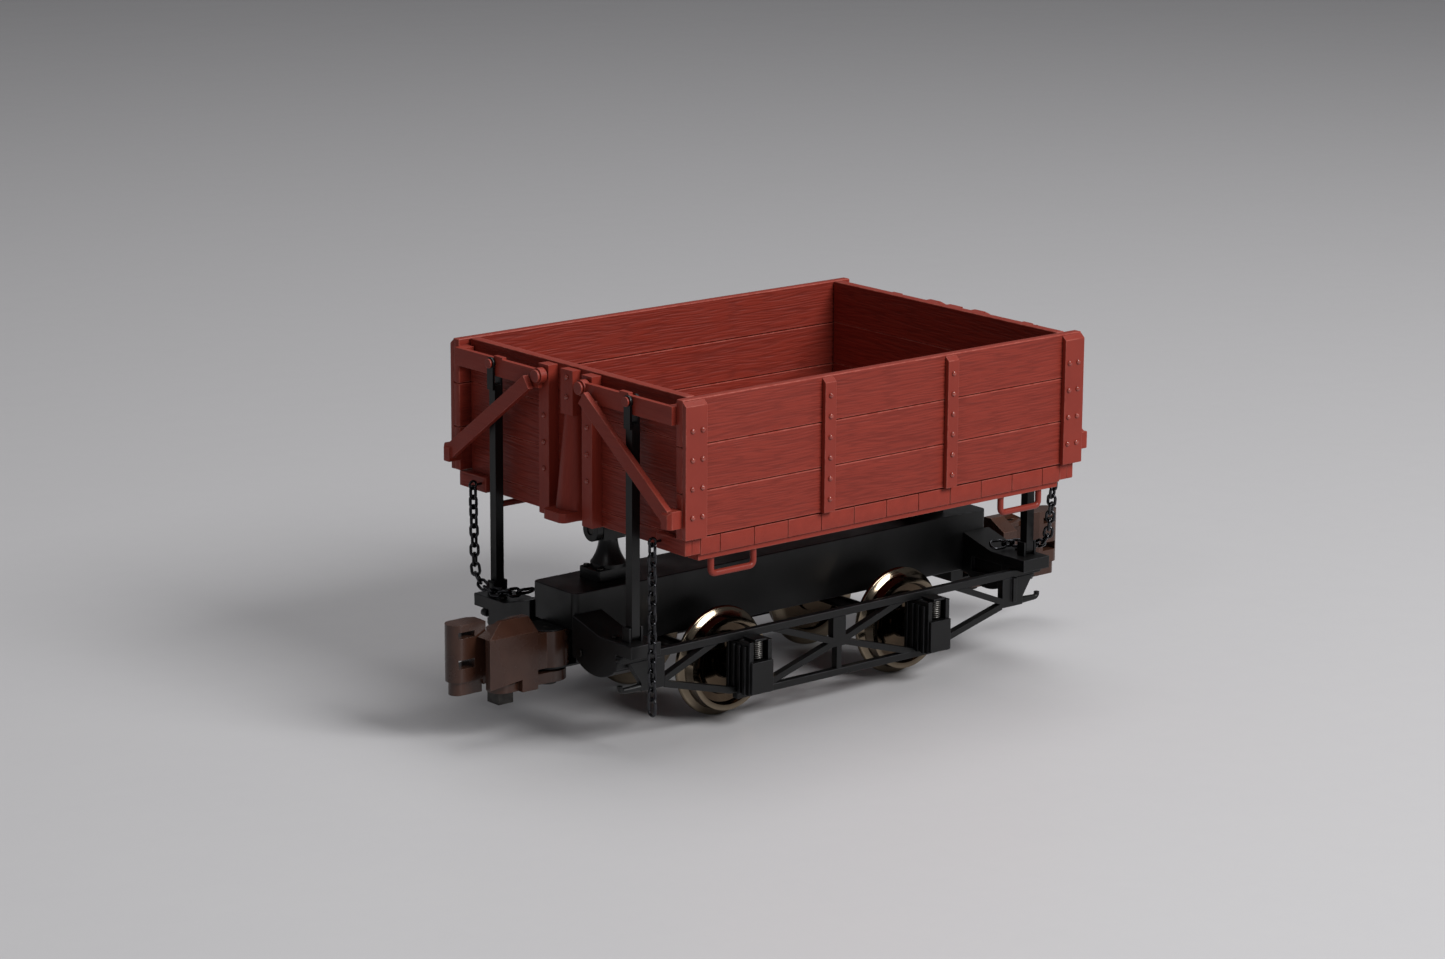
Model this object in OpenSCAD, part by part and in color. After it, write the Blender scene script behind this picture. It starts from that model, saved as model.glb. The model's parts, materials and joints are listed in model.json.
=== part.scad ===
// Four-wheel side-dump wagon, large-scale railway model, all sizes in millimetres.
// X runs along the wagon, -Y is the near side, Z = 0 is the running surface under the wheel flanges.

/* [Tipping body] */
// Length of a side door
door_l = 162; // [150:1:175]
// Width over the door straps
body_w = 116.8; // [112:0.2:122]
// Height of a side door
door_h = 42; // [36:1:48]
// Height of the door's lower edge above the running surface
door_z = 70.1; // [69:0.1:72]
// Thickness of the door boards
board_t = 3; // [2.4:0.1:3.4]
// How far the straps stand out of the boards
strap_t = 1.6; // [1:0.1:1.8]
// Clear length between the end walls
inside_l = 147.2; // [142:0.2:148]
// Thickness of an end wall
wall_t = 3.2; // [2.4:0.1:3.4]
// Thickness of the floor planks
floor_t = 5.3; // [4.6:0.1:5.4]
// Width of one floor plank
plank_w = 13.2; // [12.6:0.1:13.8]
// Distance of the middle door straps from the centre
mid_strap_x = 25; // [20:1:32]
// Width of a middle strap
mid_strap_w = 4.4; // [3.5:0.1:6]
// Width of an end strap
end_strap_w = 8.2; // [8:0.1:10]
// Width of a vertical stake on the end wall
stake_w = 5; // [4.4:0.1:6]
// Depth of a vertical stake
stake_t = 3.8; // [3:0.1:3.8]
// Reach of the pillar's foot beyond the end wall
foot_reach = 9; // [8:0.1:9.6]

/* [Door linkage] */
// Height of the body's tipping axis
pivot_z = 60.2; // [59:0.1:61]
// Distance of a door's hinge pin from the centre line
hinge_y = 10.7; // [10:0.1:11.4]
// Depth of a door bar
bar_h = 5.6; // [4.4:0.1:5.8]
// Thickness of a door bar
bar_t = 1.6; // [1.4:0.1:1.6]
// Thickness of a diagonal brace
brace_t = 2; // [1.4:0.1:2.2]
// Width of a diagonal brace
brace_w = 4.6; // [3.8:0.1:5.2]
// Distance of a lifting post from the centre line
post_y = 34; // [33:0.1:35]
// Side of a post's square section
post_s = 3; // [2.8:0.1:3]

/* [Underframe] */
// Length of the centre sill
sill_l = 170.8; // [166:0.2:174]
// Width of the centre sill
sill_w = 21.4; // [18:0.2:24]
// Height of the centre sill's top
sill_top = 44.5; // [43:0.1:46]
// Depth of the centre sill at its ends
sill_h = 11.5; // [10.6:0.1:11.9]
// Height of the centre sill's belly between the bolsters
belly_low = 25.5; // [24:0.1:28]
// Distance from the centre to a pivot stand
stand_x = 64.1; // [62:0.1:65]
// Distance of a side truss from the centre line
truss_y = 34; // [33:0.1:35]
// Thickness of the truss bars
truss_t = 2.5; // [2:0.1:3]
// Half length of a truss top bar
truss_x = 87.2; // [86.6:0.1:89]
// Width of the web braces
web_w = 2; // [1.6:0.1:2.4]
// Height of the bolster's top, where a post stands
bolster_top = 34.4; // [33.6:0.1:34.8]

/* [Running gear] */
// Distance between the axles
wheelbase = 73.8; // [72:0.2:76]
// Diameter over the flanges
flange_d = 34.8; // [34:0.1:35.2]
// Diameter of the tread
tread_d = 30; // [29:0.1:31]
// Distance between the backs of a pair of wheels
back_to_back = 40; // [39.6:0.1:40.4]
// Width of a wheel
wheel_w = 6.2; // [5.8:0.1:6.6]
// Diameter of an axle
axle_d = 4; // [3:0.1:4.4]

/* [Couplers] */
// Distance of a coupler's swing pin from the centre
swing_x = 88; // [87.6:0.1:88.4]
// Reach of the coupler's nose from the centre
nose_x = 122.5; // [122:0.1:124]
// Diameter of the coupler's barrel
barrel_d = 13.4; // [12:0.1:13.6]

/* [Chains] */
// Pitch of the chain links
link_pitch = 2.98; // [2.9:0.01:3.1]
// Width of a link
link_w = 3.3; // [3.1:0.1:3.4]
// Thickness of the link wire
wire_d = 0.8; // [0.6:0.05:0.8]
// Links in the hanging run of the loose chain
hang_links = 12; // [10:1:13]

/* [Hidden] */

$fn = 48;
body_red = [0.50, 0.19, 0.16];
frame_black = [0.13, 0.13, 0.14];
coupler_brown = [0.36, 0.25, 0.21];
wheel_metal = [0.62, 0.55, 0.48];

// Working clearance between parts that move past each other, and inside a running bore
gap = 0.35;
run = 0.05;

// Body levels and faces
strap_y = body_w / 2;
board_y = strap_y - strap_t;
board_in_y = board_y - board_t;
door_top = door_z + door_h;
floor_top = door_z - 0.5;
floor_edge = door_z - 1.1;
floor_low = floor_top - floor_t;
floor_y = strap_y - 2.1;
floor_in_y = board_in_y - 0.4;
wall_in_x = inside_l / 2;
wall_x = wall_in_x + wall_t;
wall_low = floor_low + 0.4;
block_x = wall_x + 2.6;
stake_x = wall_x + stake_t;
sill_strip_h = 1.9;
pillar_plate_t = 3.2;
beam_low = pivot_z + 0.8;
lug_t = 2.4;
lug_gap = 4.65;
rivet_r = 0.75;
rivet_h = 0.65;

// Linkage levels and faces
hinge_z = door_top - 3.9;
hinge_pin_r = 1.5;
post_pin_r = 1.2;
post_x = stake_x - 0.7;
cheek_t = 0.8;
bar_x = post_x + cheek_t + 0.3;
bar_face = bar_x + bar_t;
bar_low = hinge_z - 3.9;
brace_x = post_x + post_s + 0.3;
foot_z = bolster_top + gap + post_s / 2;
pivot_pin_r = 1.5;
head_r = 3.3;
stand_base_h = 3.5;

// Underframe levels
axle_z = flange_d / 2;
axle_x = wheelbase / 2;
sill_low = sill_top - sill_h;
top_bar_low = 28;
top_bar_h = 2.4;
tie_low = 8.9;
tie_h = 2.3;
box_half = 4.5;
seat_z = 21.7;
box_in_y = 29.6;
box_out_y = 42;
bracket_x = 70;
bracket_end_x = 79;
bolster_in_x = 75;
bolster_out_x = 86.4;
ledge_y = 39.6;
carrier_low = 25;

// Coupler levels
barrel_low = 21.3;
barrel_top = 32.6;
flange_low = 16.5;
flange_top = 19.8;
head_x = 96;
head_low = 15.6;
head_top = 37.6;
knuckle_x = 105.7;
knuckle_low = 16;
knuckle_top = 38.2;
lug_low_top = 18.2;
lug_top_low = 33.9;
pin_top = 35.4;
screw_r = 1.6;
knuckle_pin_r = 1.5;
nut_h = 3.7;

// Chain anchors
eye_x = 82.6;
eye_y = 44.8;
eye_z = 67.4;
eye_r = 1.25;
eye_wire = 0.8;
hang_z = eye_z - eye_r + eye_wire / 2;

module block(x0, x1, y0, y1, z0, z1) {
  translate([x0, y0, z0]) cube([x1 - x0, y1 - y0, z1 - z0]);
}

module both_ends() {
  children();
  mirror([1, 0, 0]) children();
}

module both_sides() {
  children();
  mirror([0, 1, 0]) children();
}

// Copies placed at the same distance to the left and to the right of the centre
module left_and_right(x) {
  for (s = [-1, 1]) translate([s * x, 0, 0]) children();
}

module corners() {
  both_ends() both_sides() children();
}

// A flat shape drawn in X and Z, centred on the plane y
module plate_xz(y, t) {
  translate([0, y, 0]) rotate([90, 0, 0]) linear_extrude(t, center = true) children();
}

// A flat shape drawn in Y and Z, standing from the plane x outwards
module plate_yz(x, t) {
  translate([x, 0, 0]) rotate([90, 0, 90]) linear_extrude(t) children();
}

module rod_x(x0, x1, y, z, r) {
  translate([x0, y, z]) rotate([0, 90, 0]) cylinder(h = x1 - x0, r = r);
}

module rod_y(y0, y1, x, z, r) {
  translate([x, y1, z]) rotate([90, 0, 0]) cylinder(h = y1 - y0, r = r);
}

// A straight flat bar of width w between two points of a plane
module strut(p, q, w) {
  d = q - p;
  translate(p) rotate(atan2(d[1], d[0])) translate([0, -w / 2]) square([norm(d), w]);
}

module rounded_rect(l, w, r) {
  square([l - 2 * r, w], center = true);
  square([l, w - 2 * r], center = true);
  for (i = [-1, 1], j = [-1, 1]) translate([i * (l / 2 - r), j * (w / 2 - r)]) circle(r);
}

// A domed rivet head standing on the XY plane
module rivet() {
  cap_r = (rivet_r * rivet_r + rivet_h * rivet_h) / (2 * rivet_h);
  rotate_extrude() intersection() {
    translate([0, rivet_h - cap_r]) circle(cap_r);
    square([2 * rivet_r, rivet_h]);
  }
}

// Underframe

module centre_sill() {
  color(frame_black) {
    translate([0, 0, sill_low]) linear_extrude(sill_h) rounded_rect(sill_l, sill_w, 2);
    block(-bolster_in_x, bolster_in_x, -sill_w / 2, sill_w / 2, belly_low, sill_low);
  }
}

module pivot_stand() {
  base_l = 15.2;
  base_w = 10;
  base_h = stand_base_h;
  neck_r = 2.9;
  flare_r = 14;
  neck_z = pivot_z - head_r + 0.6;
  head_l = 8.4;
  difference() {
    union() {
      translate([stand_x, 0, sill_top]) linear_extrude(base_h) rounded_rect(base_l, base_w, 0.8);
      translate([stand_x, 0, sill_top + base_h]) rotate_extrude() difference() {
        square([neck_r + 2.7, neck_z - sill_top - base_h]);
        translate([neck_r + flare_r, neck_z - sill_top - base_h]) circle(flare_r, $fn = 96);
      }
      rod_x(stand_x - head_l / 2, stand_x + head_l / 2, 0, pivot_z, head_r);
      block(stand_x - head_l / 2, stand_x + head_l / 2, -head_r, head_r, neck_z - 0.6, pivot_z);
    }
    rod_x(stand_x - head_l, stand_x + head_l, 0, pivot_z, pivot_pin_r + run);
  }
}

module pivot_stands() {
  color(frame_black) both_ends() pivot_stand();
}

// Fish-bellied arms from the sill to the truss ends, with the coupler's carrier under the sill
module bolster_profile() {
  belly_y = 22;
  belly_r = 15;
  belly_low = 21.5;
  arm_low = top_bar_low + top_bar_h;
  bar_face_y = truss_y - truss_t / 2;
  slope_y = 24;
  slope_end = 27.5;
  slope_top = 38.2;
  difference() {
    union() {
      translate([0, arm_low]) square([ledge_y, bolster_top - arm_low]);
      polygon([[0, bolster_top - 1], [slope_end, bolster_top - 1], [slope_y, bolster_top],
        [sill_w / 2, slope_top], [0, slope_top]]);
      translate([0, carrier_low]) square([bar_face_y - 0.6, bolster_top - carrier_low]);
      intersection() {
        translate([belly_y, belly_low + belly_r]) circle(belly_r, $fn = 96);
        translate([0, belly_low - 1]) square([bar_face_y, top_bar_low - belly_low + 1]);
      }
    }
    translate([-1, 0]) square([sill_w / 2 + 1, sill_top]);
  }
}

module end_bolster() {
  carrier_x = swing_x - barrel_d / 2 - gap - 0.4;
  tongue_r = 5.2;
  tongue_low = flange_top + gap;
  tongue_top = barrel_low - gap;
  pocket_y = 22;
  pocket_l = 14;
  pocket_h = 4.4;
  pocket_z = 26.4;
  pocket_t = 1.2;
  difference() {
    union() {
      both_sides() plate_yz(bolster_in_x, bolster_out_x - bolster_in_x) bolster_profile();
      block(bolster_in_x, carrier_x, -sill_w / 2, sill_w / 2, carrier_low, sill_low);
      block(bolster_in_x, carrier_x, -tongue_r, tongue_r, tongue_low, carrier_low);
      block(carrier_x, swing_x, -tongue_r, tongue_r, tongue_low, tongue_top);
      translate([swing_x, 0, tongue_low]) cylinder(h = tongue_top - tongue_low, r = tongue_r);
    }
    translate([swing_x, 0, 0]) cylinder(h = sill_top, r = screw_r);
    both_sides() block(bolster_in_x - 1, bolster_in_x + pocket_t, pocket_y - pocket_l / 2,
      pocket_y + pocket_l / 2, pocket_z, pocket_z + pocket_h);
  }
}

module end_bolsters() {
  color(frame_black) both_ends() end_bolster();
}

module top_bar() {
  tip_r = top_bar_h / 2;
  color(frame_black) plate_xz(-truss_y, truss_t) translate([0, top_bar_low + tip_r]) {
    square([2 * (truss_x - tip_r), top_bar_h], center = true);
    for (s = [-1, 1]) translate([s * (truss_x - tip_r), 0]) circle(tip_r);
  }
}

module near_top_bar() { top_bar(); }
module far_top_bar() { mirror([0, 1, 0]) top_bar(); }

module tie_bar() {
  color(frame_black) plate_xz(-truss_y, truss_t) translate([0, tie_low + tie_h / 2])
    square([2 * (axle_x - box_half), tie_h], center = true);
}

module near_tie_bar() { tie_bar(); }
module far_tie_bar() { mirror([0, 1, 0]) tie_bar(); }

// Crossed braces, king post and end diagonals between the bars of one side truss
module truss_web() {
  cross_z = 20;
  cross_x = 3;
  knot_h = 3;
  post_w = 5.2;
  strut_w = 2;
  box_in = axle_x - box_half;
  box_out = axle_x + box_half;
  tie_top = tie_low + tie_h;
  web_h = top_bar_low - tie_top;
  upper_foot = 28.4;
  end_head = 47;
  end_foot = 38;
  join_z = 19.8;
  color(frame_black) plate_xz(-truss_y, truss_t) {
    intersection() {
      translate([-box_in, tie_top]) square([2 * box_in, web_h]);
      union() {
        translate([-post_w / 2, cross_z]) square([post_w, web_h]);
        translate([-strut_w / 2, 0]) square([strut_w, cross_z]);
        translate([-cross_x - 1, cross_z - knot_h / 2]) square([2 * cross_x + 2, knot_h]);
        for (s = [-1, 1]) {
          strut([s * upper_foot, top_bar_low + 1.4], [s * cross_x, cross_z + 0.6], web_w);
          strut([s * box_in, tie_top - 0.6], [s * cross_x, cross_z - 0.6], web_w);
        }
      }
    }
    for (s = [-1, 1]) intersection() {
      translate([s > 0 ? box_out : -bracket_x, tie_top]) square([bracket_x - box_out, web_h]);
      union() {
        strut([s * end_head, top_bar_low + 2], [s * (bracket_x + 1), join_z + 0.4], web_w);
        strut([s * end_foot, tie_top - 0.6], [s * (bracket_x + 1), join_z - 0.4], web_w);
      }
    }
  }
}

module near_truss_web() { truss_web(); }
module far_truss_web() { mirror([0, 1, 0]) truss_web(); }

// Gusset plates that hang from the ends of the top bars, with a stiffening rib
module end_brackets() {
  low = 18.4;
  rib_t = 0.9;
  rib_w = 1.6;
  rib_x = bracket_x + 4;
  face_y = truss_y + truss_t / 2;
  color(frame_black) corners() {
    plate_xz(-truss_y, truss_t) polygon([[bracket_x, top_bar_low], [bracket_end_x + 4.5, top_bar_low],
      [bracket_end_x, low + 2.6], [bracket_end_x, low], [bracket_x, low]]);
    block(rib_x, rib_x + rib_w, -face_y - rib_t, -face_y, low + 1.6, top_bar_low);
  }
}

module chain_hooks() {
  hook_z = 19.9;
  hook_r = 0.85;
  bend_r = 1.6;
  tip_h = 0.8;
  shank_end = truss_x - 3;
  color(frame_black) corners() {
    rod_x(bracket_end_x, shank_end, -truss_y, hook_z, hook_r);
    translate([shank_end, -truss_y, hook_z + bend_r]) rotate([90, 0, 0]) rotate([0, 0, -90])
      rotate_extrude(angle = 90) translate([bend_r, 0]) circle(hook_r);
    translate([shank_end + bend_r, -truss_y, hook_z + bend_r]) cylinder(h = tip_h, r = hook_r);
  }
}

// Pedestal with two ribbed side plates, and a journal block with a lid
module axle_box() {
  plate_t = 1.2;
  lid_t = 1.4;
  lid_set = 0.6;
  bridge_t = 0.8;
  rib_t = 0.8;
  rib_w = 1.2;
  rib_pitch = 2.25;
  plate_y = box_out_y - lid_set;
  difference() {
    union() {
      for (s = [-1, 1]) {
        block(s * box_half - (s > 0 ? plate_t : 0), s * box_half + (s > 0 ? 0 : plate_t),
          box_in_y, plate_y, tie_low, top_bar_low);
        for (y = [for (i = [0:2]) plate_y - rib_w - i * rib_pitch])
          block(s > 0 ? box_half : -box_half - rib_t, s > 0 ? box_half + rib_t : -box_half,
            y, y + rib_w, tie_low, top_bar_low - 1.4);
      }
      block(-box_half, box_half, box_in_y, box_out_y - lid_t, tie_low, seat_z);
      block(-box_half - 0.1, box_half + 0.1, box_out_y - lid_t, box_out_y, tie_low + 2.2, seat_z);
      block(-box_half, box_half, box_in_y + 2, plate_y, top_bar_low - bridge_t, top_bar_low);
    }
    rod_y(box_in_y - 1, box_in_y + 8.1, 0, axle_z, axle_d / 2 + run);
  }
}

module axle_boxes() {
  color(frame_black) corners() translate([axle_x, 0, 0]) axle_box();
}

// Coil springs: a round wire swept along a helix
module coil_spring(h, mean_r, wire, turns) {
  sides = 6;
  steps = 12;
  count = turns * steps;
  rise = (h - wire) / count;
  rings = [for (i = [0:count]) let (a = 360 * i / steps)
    for (k = [0:sides - 1]) let (b = 360 * k / sides, r = mean_r + wire / 2 * cos(b))
      [r * cos(a), r * sin(a), wire / 2 + i * rise + wire / 2 * sin(b)]];
  walls = [for (i = [0:count - 1], k = [0:sides - 1]) let (n = (k + 1) % sides)
    [i * sides + k, (i + 1) * sides + k, (i + 1) * sides + n, i * sides + n]];
  first = [for (k = [0:sides - 1]) k];
  last = [for (k = [sides - 1:-1:0]) count * sides + k];
  polyhedron(rings, concat(walls, [first, last]));
}

module axle_springs() {
  spring_y = 38.7;
  color("silver") corners() translate([axle_x, spring_y, seat_z + 0.05])
    coil_spring(top_bar_low - 0.9 - seat_z, 1.7, 0.62, 6);
}

// Cheeks beside each post's foot, open to the side so that the foot can lift out
module post_guides() {
  cheek_h = 4.6;
  cheek_half = 1.7;
  color(frame_black) corners()
    for (x = [post_x - gap - cheek_t, post_x + post_s + gap])
      block(x, x + cheek_t, -post_y - cheek_half, -post_y + cheek_half, bolster_top, bolster_top + cheek_h);
}

module coupler_washers() {
  color(frame_black) both_ends() translate([swing_x, 0, barrel_top + 0.1]) difference() {
    cylinder(h = sill_low - barrel_top - 0.1, r = barrel_d / 2 - 0.2);
    translate([0, 0, -1]) cylinder(h = 3, r = screw_r);
  }
}

module coupler_screws() {
  head_h = 1.5;
  head_r = 3;
  color("dimgray") both_ends() translate([swing_x, 0, 0]) {
    translate([0, 0, flange_low - 0.1 - head_h]) cylinder(h = head_h, r = head_r);
    translate([0, 0, flange_low - 0.1]) cylinder(h = sill_low - flange_low + 0.1, r = screw_r);
  }
}

// Hexagon and round heads on the bolsters, stand bases and sill sides
module frame_bolts() {
  head_r = 1.1;
  head_h = 0.7;
  color("dimgray") corners() {
    translate([bolster_out_x - 3, -28, bolster_top]) cylinder(h = head_h, r = head_r, $fn = 6);
    translate([stand_x + 5.8, -3.4, sill_top + stand_base_h]) cylinder(h = head_h, r = head_r, $fn = 6);
    rod_x(bolster_out_x, bolster_out_x + head_h, -15, sill_low - sill_h / 2, head_r);
  }
}

// Wheelsets

module wheel() {
  w = wheel_w;
  r = tread_d / 2;
  f = flange_d / 2;
  hub_r = 4.6;
  flange_t = 1.7;
  rotate([90, 0, 0]) rotate_extrude($fn = 96) {
    difference() {
      polygon([[axle_d / 2, 0], [f - 0.7, 0], [f - 0.7, flange_t], [r + 0.9, flange_t + 0.4],
        [r + 0.2, flange_t + 0.9], [r - 0.2, w], [r - 1.9, w], [r - 2.5, w - 2.1], [10.2, w - 2.5],
        [9.8, w - 1.7], [9.2, w - 1.7], [8.8, w - 2.7], [hub_r + 0.4, w - 2.2], [hub_r, w - 0.2],
        [axle_d / 2, w - 0.2]]);
      polygon([[5.4, -1], [r - 2.4, -1], [r - 3, 1.3], [6, 1.3]]);
    }
    translate([f - 0.85, 0.85]) circle(0.85);
  }
}

module wheel_pair(x) {
  color(wheel_metal) translate([x, 0, axle_z]) both_sides() translate([0, -back_to_back / 2, 0]) wheel();
}

module axle(x) {
  end_y = box_in_y + 7.6;
  color("dimgray") rod_y(-end_y, end_y, x, axle_z, axle_d / 2);
}

module left_wheels() { wheel_pair(-axle_x); }
module left_axle() { axle(-axle_x); }
module right_wheels() { wheel_pair(axle_x); }
module right_axle() { axle(axle_x); }

// Couplers, drawn for the right-hand end

// Round lug for the knuckle pin, joined to the head
module pin_lug(low, top) {
  lug_r = 4.2;
  translate([knuckle_x, 0, low]) cylinder(h = top - low, r = lug_r);
  block(head_x, knuckle_x, -lug_r, lug_r, low, top);
}

// Head with its guard plate and slanted hood, two lugs for the knuckle and a fork that straddles the tongue
module coupler_head() {
  near_y = -8;
  guard_y = 6.3;
  guard_t = 2.3;
  guard_x = 114;
  guard_lap = 2;
  hood_y = 1.5;
  hood_x = 106.5;
  block_end = 101.9;
  cheek_half = 5.4;
  difference() {
    union() {
      plate_yz(head_x, block_end - head_x) polygon([[near_y, head_low], [guard_y, head_low],
        [guard_y, lug_top_low], [hood_y, head_top], [-hood_y, head_top], [near_y, lug_top_low]]);
      plate_xz(guard_y - guard_t / 2, guard_t) polygon([[head_x, head_low + 1], [block_end, head_low + 4],
        [guard_x, lug_low_top], [guard_x, lug_top_low], [head_x, lug_top_low]]);
      intersection() {
        plate_yz(head_x, guard_x - head_x) polygon([[guard_y - guard_t, lug_top_low - guard_lap],
          [guard_y, lug_top_low - guard_lap], [guard_y, lug_top_low], [hood_y, head_top],
          [0, head_top], [0, lug_top_low], [guard_y - guard_t, lug_top_low]]);
        plate_xz(0, 4 * guard_y) polygon([[head_x, head_low], [guard_x, head_low], [guard_x, lug_top_low],
          [hood_x, head_top], [head_x, head_top]]);
      }
      pin_lug(head_low, lug_low_top);
      pin_lug(lug_top_low, pin_top);
      translate([swing_x, 0, barrel_low]) cylinder(h = barrel_top - barrel_low, r = barrel_d / 2);
      block(swing_x, head_x, -cheek_half, cheek_half, barrel_low, barrel_top);
      translate([swing_x, 0, flange_low]) cylinder(h = flange_top - flange_low, r = barrel_d / 2 - 0.8);
      block(swing_x, head_x, -cheek_half, cheek_half, flange_low, flange_top);
    }
    translate([swing_x, 0, 0]) cylinder(h = 60, r = screw_r + run);
    translate([knuckle_x, 0, 0]) cylinder(h = pin_top + 0.1, r = knuckle_pin_r);
  }
}

// Hooked jaw with two slots behind its nose for a link, hinged on its own pin
module knuckle() {
  hub_r = 3.4;
  nose_r = 3.5;
  nose_y = -4;
  in_y = nose_y + nose_r;
  out_y = nose_y - nose_r;
  column_x = 110.6;
  foot_top = 20.3;
  inset = 0.9;
  slot_x = knuckle_x + 9;
  rim_t = 2;
  nose_c = nose_x - nose_r;
  difference() {
    intersection() {
      translate([0, 0, knuckle_low]) linear_extrude(knuckle_top - knuckle_low) {
        translate([knuckle_x, 0]) circle(hub_r);
        polygon([[knuckle_x, -hub_r], [113, out_y], [nose_c, out_y], [nose_c, in_y],
          [knuckle_x + 3.4, in_y], [knuckle_x + 1.6, hub_r - 0.4], [knuckle_x, hub_r]]);
        translate([nose_c, nose_y]) circle(nose_r);
      }
      union() {
        block(0, column_x + 1, -20, 20, lug_low_top + 0.3, lug_top_low - 0.3);
        block(column_x, nose_x + 1, -20, 20, foot_top, knuckle_top);
        translate([0, 0, knuckle_low]) linear_extrude(foot_top) {
          translate([column_x + inset, out_y + inset])
            square([nose_c - column_x - inset, 2 * (nose_r - inset)]);
          translate([nose_c, nose_y]) circle(nose_r - inset);
        }
      }
    }
    translate([knuckle_x, 0, 0]) cylinder(h = 60, r = knuckle_pin_r + run);
    for (slot = [[24.5, 27.3], [34, 36]])
      block(slot_x, nose_x - rim_t, out_y - 1, in_y + 1, slot[0], slot[1]);
  }
}

module knuckle_pin() {
  nut_w = 5.7;
  translate([knuckle_x, 0, 0]) {
    translate([0, 0, head_low - nut_h]) cylinder(h = pin_top - head_low + nut_h, r = knuckle_pin_r);
    translate([-nut_w / 2, -nut_w / 2, head_low - nut_h]) cube([nut_w, nut_w, nut_h]);
  }
}

module left_coupler_head() { color(coupler_brown) rotate([0, 0, 180]) coupler_head(); }
module left_knuckle_pin() { color("dimgray") rotate([0, 0, 180]) knuckle_pin(); }
module left_knuckle() { color(coupler_brown) rotate([0, 0, 180]) knuckle(); }
module right_coupler_head() { color(coupler_brown) coupler_head(); }
module right_knuckle_pin() { color("dimgray") knuckle_pin(); }
module right_knuckle() { color(coupler_brown) knuckle(); }

// Tipping body

module pivot_pins() {
  half_l = lug_gap + lug_t - gap;
  color("dimgray") both_ends() rod_x(stand_x - half_l, stand_x + half_l, 0, pivot_z, pivot_pin_r);
}

module floor_planks() {
  seam = 0.25;
  count = floor(wall_in_x / plank_w);
  color(body_red) for (i = [-count - 1:count]) {
    x0 = max(i * plank_w, -wall_in_x);
    x1 = min((i + 1) * plank_w, wall_in_x);
    block(x0 + seam / 2, x1 - seam / 2, -floor_in_y, floor_in_y, floor_low, floor_top);
    block(x0 + seam / 2, x1 - seam / 2, -floor_y, floor_y, floor_low, floor_edge);
  }
}

module side_sills() {
  strip_y = floor_y - 1;
  strip_w = 5;
  color(body_red) both_sides()
    block(-wall_in_x, wall_in_x, -strip_y, -strip_y + strip_w, floor_low - sill_strip_h, floor_low);
}

module body_beam() {
  half_w = 6;
  end_x = stand_x - lug_gap - lug_t;
  color(body_red) block(-end_x, end_x, -half_w, half_w, beam_low, floor_low);
}

// Lugs on each side of the pivot stands, riding on the pivot pins
module pivot_lugs() {
  lug_half = 3.7;
  color(frame_black) both_ends() difference() {
    for (x = [stand_x - lug_gap - lug_t, stand_x + lug_gap]) {
      rod_x(x, x + lug_t, 0, pivot_z, lug_half);
      block(x, x + lug_t, -lug_half, lug_half, pivot_z, floor_low);
    }
    rod_x(stand_x - 12, stand_x + 12, 0, pivot_z, pivot_pin_r + run);
  }
}

// Three boards with a scored joint between them, on a rail that covers the floor's end
module end_wall() {
  score = 0.3;
  score_h = 0.5;
  difference() {
    union() {
      block(wall_in_x, wall_x, -floor_in_y, floor_in_y, wall_low, door_top);
      block(wall_in_x, wall_x, -floor_y, floor_y, wall_low, floor_top);
    }
    for (i = [1, 2], x = [wall_in_x, wall_x])
      block(x - score, x + score, -60, 60, door_z + i * door_h / 3, door_z + i * door_h / 3 + score_h);
  }
}

module left_end_wall() { color(body_red) mirror([1, 0, 0]) end_wall(); }
module right_end_wall() { color(body_red) end_wall(); }

module end_stakes() {
  y0 = hinge_y - stake_w / 2;
  color(body_red) corners() difference() {
    block(wall_x, stake_x, -y0 - stake_w, -y0, wall_low, door_top - 0.6);
    rod_x(wall_x + 0.6, stake_x + 1, -hinge_y, hinge_z, hinge_pin_r);
  }
}

// Flat plate above a half cone that swells downwards to a rounded foot
module end_pillar() {
  plate_half = 3;
  plate_x = wall_x + pillar_plate_t;
  plate_low = 97.7;
  cone_r = 5.8;
  cone_x = wall_x + 0.2;
  foot_half = 5.2;
  foot_low = 65.4;
  foot_top = 68.4;
  corner_r = 2;
  foot_x = wall_x + foot_reach;
  block(wall_x, plate_x, -plate_half, plate_half, plate_low, door_top - 0.6);
  intersection() {
    translate([cone_x, 0, 0]) rotate_extrude() polygon([[0, foot_low], [cone_r, foot_low], [cone_r, foot_top],
      [plate_half, plate_low], [0, plate_low]]);
    block(wall_x, wall_x + 20, -20, 20, 0, 200);
  }
  block(wall_x, foot_x - corner_r, -foot_half, foot_half, foot_low, foot_top);
  block(wall_x, foot_x, -foot_half + corner_r, foot_half - corner_r, foot_low, foot_top);
  both_sides() translate([foot_x - corner_r, foot_half - corner_r, foot_low])
    cylinder(h = foot_top - foot_low, r = corner_r);
}

module end_pillars() { color(body_red) both_ends() end_pillar(); }

module corner_blocks() {
  block_l = 13.8;
  color(body_red) corners()
    block(wall_x, block_x, -floor_y, -floor_y + block_l, wall_low, floor_top);
}

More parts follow.
